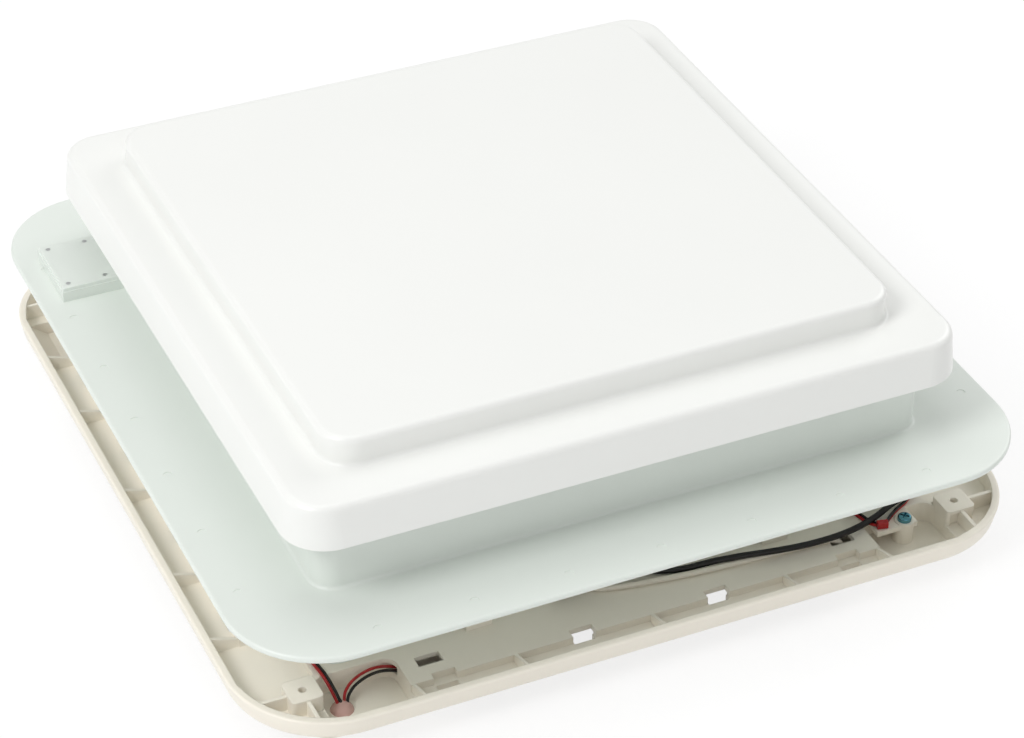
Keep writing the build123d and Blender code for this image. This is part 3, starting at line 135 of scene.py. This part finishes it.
# Colours are screen levels. The grain is a noise of this scale and of this depth in metres.
# The spread is the change of tone, and the edge is the radius in metres that softens sharp edges.
mouldings = {
    "white_shell": {"name": "white shell", "color": (233, 239, 233), "roughness": 0.32,
                    "scale": 900.0, "depth": 0.00002},
    "white_lid": {"name": "white lid", "color": (246, 247, 244), "roughness": 0.30,
                  "scale": 700.0, "depth": 0.00002},
    "cream_trim": {"name": "cream trim", "color": (252, 246, 233), "roughness": 0.42,
                   "scale": 1600.0, "depth": 0.00003, "edge": 0.0007},
    "seal_rubber": {"name": "seal rubber", "color": (38, 38, 40), "roughness": 0.70,
                    "scale": 1200.0, "depth": 0.00005, "spread": 0.1},
    "dark_plastic": {"name": "dark plastic", "color": (34, 34, 36), "roughness": 0.45,
                     "scale": 2200.0, "depth": 0.00006, "spread": 0.1},
    "fan_plastic": {"name": "fan plastic", "color": (226, 227, 222), "roughness": 0.45,
                    "scale": 1400.0, "depth": 0.00003},
    "screen_frame": {"name": "screen frame", "color": (228, 224, 213), "roughness": 0.45,
                     "scale": 1500.0, "depth": 0.00003},
    "board_green": {"name": "board mask", "color": (236, 238, 232), "roughness": 0.35,
                    "scale": 500.0, "depth": 0.00002},
    "chip_white": {"name": "light chip", "color": (236, 222, 130), "roughness": 0.30,
                   "scale": 500.0, "depth": 0.00001},
    "black_lead": {"name": "black lead", "color": (14, 11, 10), "roughness": 0.46,
                   "scale": 600.0, "depth": 0.00003, "spread": 0.1},
    "red_lead": {"name": "red lead", "color": (176, 26, 30), "roughness": 0.30,
                 "scale": 600.0, "depth": 0.00003, "spread": 0.05},
    "cream_lead": {"name": "cream lead", "color": (232, 226, 212), "roughness": 0.36,
                   "scale": 600.0, "depth": 0.00003},
    "motor_steel": {"name": "motor paint", "color": (48, 48, 50), "roughness": 0.35,
                    "scale": 900.0, "depth": 0.00003, "spread": 0.08},
    "guard_wire": {"name": "guard coating", "color": (228, 228, 224), "roughness": 0.30,
                   "scale": 700.0, "depth": 0.00004},
    "bar_steel": {"name": "bar paint", "color": (212, 214, 213), "roughness": 0.32,
                  "scale": 700.0, "depth": 0.00003},
}

# What all mouldings share. The usual spread holds where a moulding names none.
mouldingNoise = {
    "toneScale": 9.0,
    "toneDetail": 2.0,
    "glossScale": 60.0,
    "glossChange": 0.08,
    "grainDetail": 4.0,
    "usualSpread": 0.015,
}


def moulding(look):
    # Moulded plastic, paint or rubber: a faint slow change of tone and gloss, and a fine grain.
    color = linear(*look["color"])
    finish = Finish(look["name"], color, look["roughness"])
    spread = look.get("spread", mouldingNoise["usualSpread"])
    darker = tuple(c * (1 - 2 * spread) for c in color)
    tone = finish.noise(mouldingNoise["toneScale"], mouldingNoise["toneDetail"])
    finish.set("Base Color", finish.mixed(tone, darker, color))
    gloss = finish.noise(mouldingNoise["glossScale"]) - noiseMiddle
    finish.set("Roughness", gloss * mouldingNoise["glossChange"] + look["roughness"])
    normal = finish.softEdges(look["edge"]) if "edge" in look else None
    finish.bump(finish.noise(look["scale"], mouldingNoise["grainDetail"]), look["depth"], normal)
    return finish


# The scratches are a bump of this depth in metres.
metals = {
    "zinc_steel": {"name": "zinc steel", "color": (196, 198, 200), "roughness": 0.30, "scratches": 0.00002},
    "blue_zinc": {"name": "blue zinc", "color": (96, 150, 166), "roughness": 0.22, "scratches": 0.00002},
    "brass_screw": {"name": "brass", "color": (206, 172, 104), "roughness": 0.28, "scratches": 0.00002},
}
brightScrew = {"name": "bright screw", "color": (214, 216, 216), "roughness": 0.42, "scratches": 0.00001}
metalNoise = {
    "glossScale": 400.0,
    "glossDetail": 5.0,
    "glossChange": 0.2,
    "scratchScale": 900.0,
    "scratchDetail": 2.0,
}


def metal(look):
    # Metal with a little uneven gloss and faint scratches.
    finish = Finish(look["name"], linear(*look["color"]), look["roughness"], Metallic=1.0)
    gloss = finish.noise(metalNoise["glossScale"], metalNoise["glossDetail"]) - noiseMiddle
    finish.set("Roughness", gloss * metalNoise["glossChange"] + look["roughness"])
    scratches = finish.noise(metalNoise["scratchScale"], metalNoise["scratchDetail"])
    finish.bump(scratches, look["scratches"])
    return finish


glue = {"name": "hot glue", "color": (252, 206, 198), "roughness": 0.14, "alpha": 0.66,
        "scale": 260.0, "depth": 0.0004}
lens = {"name": "lamp lens", "color": (240, 243, 242), "roughness": 0.35, "alpha": 0.55,
        "scale": 260.0, "depth": 0.0002}


def partClear(look):
    # Hot glue or a frosted lens: part see-through, with an uneven surface.
    finish = Finish(look["name"], linear(*look["color"]), look["roughness"], Alpha=look["alpha"])
    finish.bump(finish.noise(look["scale"]), look["depth"])
    return finish


weave = {"name": "woven mesh", "color": (70, 72, 74), "roughness": 0.6, "pitch": 0.0014, "thread": 0.55}


def wovenMesh(look):
    # Woven screen: solid where the higher of two sines, along X and along Y, is above a level.
    finish = Finish(look["name"], linear(*look["color"]), look["roughness"])
    axes = finish.node("ShaderNodeSeparateXYZ", None, {0: finish.places()})
    turn = 2 * math.pi / look["pitch"]
    across = (Value(finish, axes.outputs["X"]) * turn).wave()
    along = (Value(finish, axes.outputs["Y"]) * turn).wave()
    finish.set("Alpha", across.larger(along) > look["thread"])
    return finish


finishes = {slot: moulding(look) for slot, look in mouldings.items()}
finishes.update({slot: metal(look) for slot, look in metals.items()})
finishes["clear_lens"] = partClear(lens)
finishes["clear_glue"] = partClear(glue)
finishes["screen_mesh"] = wovenMesh(weave)
ownFinishes = {"cable_box_screws": metal(brightScrew)}

for record in frame["record"]["subparts"]:
    piece = cadNodes[record["node"]]
    finish = ownFinishes.get(record["node"], finishes[record["material_slot"]])
    piece.data.materials.clear()
    piece.data.materials.append(finish.material)
print("finishes set:", len(finishes))

# The place is in metres, the three turns in degrees. The focal length and the width are in the
# photograph's pixels, the sensor in millimetres.
camera = {
    "place": (-0.4773, -1.0375, 0.8628),
    "turn": 25.17,
    "down": 35.93,
    "roll": 0.89,
    "focal": 3103.9,
    "width": 1024.0,
    "sensor": 36.0,
    "reach": 20.0,
}


def setCamera():
    # The axes are the view direction and the right and up vectors, rolled about it.
    turn = math.radians(camera["turn"])
    down = math.radians(camera["down"])
    roll = math.radians(camera["roll"])
    forward = Vector((math.sin(turn) * math.cos(down), math.cos(turn) * math.cos(down), -math.sin(down)))
    level = forward.cross(Vector((0, 0, 1))).normalized()
    top = level.cross(forward)
    right = math.cos(roll) * level + math.sin(roll) * top
    up = -math.sin(roll) * level + math.cos(roll) * top
    data = bpy.data.cameras.new("camera")
    data.sensor_width = camera["sensor"]
    data.lens = camera["focal"] * camera["sensor"] / camera["width"]
    data.clip_end = camera["reach"]
    taker = bpy.data.objects.new("camera", data)
    bpy.context.collection.objects.link(taker)
    rows = Matrix((right, up, -forward)).transposed().to_4x4()
    rows.translation = Vector(camera["place"])
    taker.matrix_world = rows
    bpy.context.scene.camera = taker


# Lengths in metres. The floor lies a little low, so that it doesn't meet the pods' undersides.
floor = {
    "side": 6.0,
    "drop": 0.0002,
    "color": (0.92, 0.92, 0.92),
    "roughness": 0.9,
    "glow": 0.78,
    "shade": 0.24,
}
sky = 0.48  # strength of the world's light on the object
lamps = {
    "key": {"place": (-0.3, 0.6, 2.3), "size": 1.8, "power": 10.0},
    "side": {"place": (-1.60, -0.50, 1.70), "size": 1.0, "power": 22.0},
    "front": {"place": (0.2, -2.2, 0.4), "size": 1.2, "power": 3.0},
    "back": {"place": (1.7, 0.7, 1.3), "size": 1.4, "power": 12.0},
}


def floorFinish():
    # Camera, glossy and transmission rays see a glow that still takes the shadow; the rest sees the colour.
    finish = Finish("floor", floor["color"], floor["roughness"])
    path = finish.node("ShaderNodeLightPath")
    seen = Value(finish, path.outputs["Is Camera Ray"])
    for ray in ("Is Glossy Ray", "Is Transmission Ray"):
        seen = seen.larger(Value(finish, path.outputs[ray]))
    shade = finish.node("ShaderNodeBsdfDiffuse", None, {"Color": (*[floor["shade"]] * 3, 1.0)})
    glow = finish.node("ShaderNodeEmission", None, {"Color": white, "Strength": floor["glow"]})
    both = finish.node("ShaderNodeAddShader", None, {0: shade.outputs[0], 1: glow.outputs[0]})
    inputs = {0: seen, 1: finish.surface.outputs[0], 2: both.outputs[0]}
    mixer = finish.node("ShaderNodeMixShader", None, inputs)
    finish.feed(finish.output.inputs["Surface"], mixer.outputs[0])
    return finish


def setFloor():
    half = floor["side"] / 2
    corners = [(-half, -half, 0), (half, -half, 0), (half, half, 0), (-half, half, 0)]
    mesh = bpy.data.meshes.new("floor")
    mesh.from_pydata(corners, [], [(0, 1, 2, 3)])
    body = bpy.data.objects.new("floor", mesh)
    bpy.context.collection.objects.link(body)
    body.location.z = -floor["drop"]
    body.data.materials.append(floorFinish().material)


def setWorld():
    # The camera sees full white, the object gets the sky's weaker light.
    world = bpy.data.worlds.new("studio")
    world.use_nodes = True
    nodes = Nodes(world.node_tree)
    path = nodes.node("ShaderNodeLightPath")
    inputs = {0: path.outputs["Is Camera Ray"], 1: 1.0 - sky, 2: sky}
    strength = nodes.node("ShaderNodeMath", {"operation": "MULTIPLY_ADD"}, inputs)
    background = world.node_tree.nodes["Background"]
    nodes.feed(background.inputs["Color"], white)
    nodes.feed(background.inputs["Strength"], strength.outputs[0])
    bpy.context.scene.world = world


def setLamp(name, setting):
    data = bpy.data.lights.new(name, "AREA")
    data.shape = "DISK"
    data.size = setting["size"]
    data.energy = setting["power"]
    body = bpy.data.objects.new(name, data)
    bpy.context.collection.objects.link(body)
    body.location = setting["place"]
    body.rotation_euler = (-Vector(setting["place"])).to_track_quat("-Z", "Y").to_euler()


setCamera()
setFloor()
setWorld()
for name, setting in lamps.items():
    setLamp(name, setting)
bpy.context.scene.view_settings.view_transform = "Standard"
print("camera and studio set")
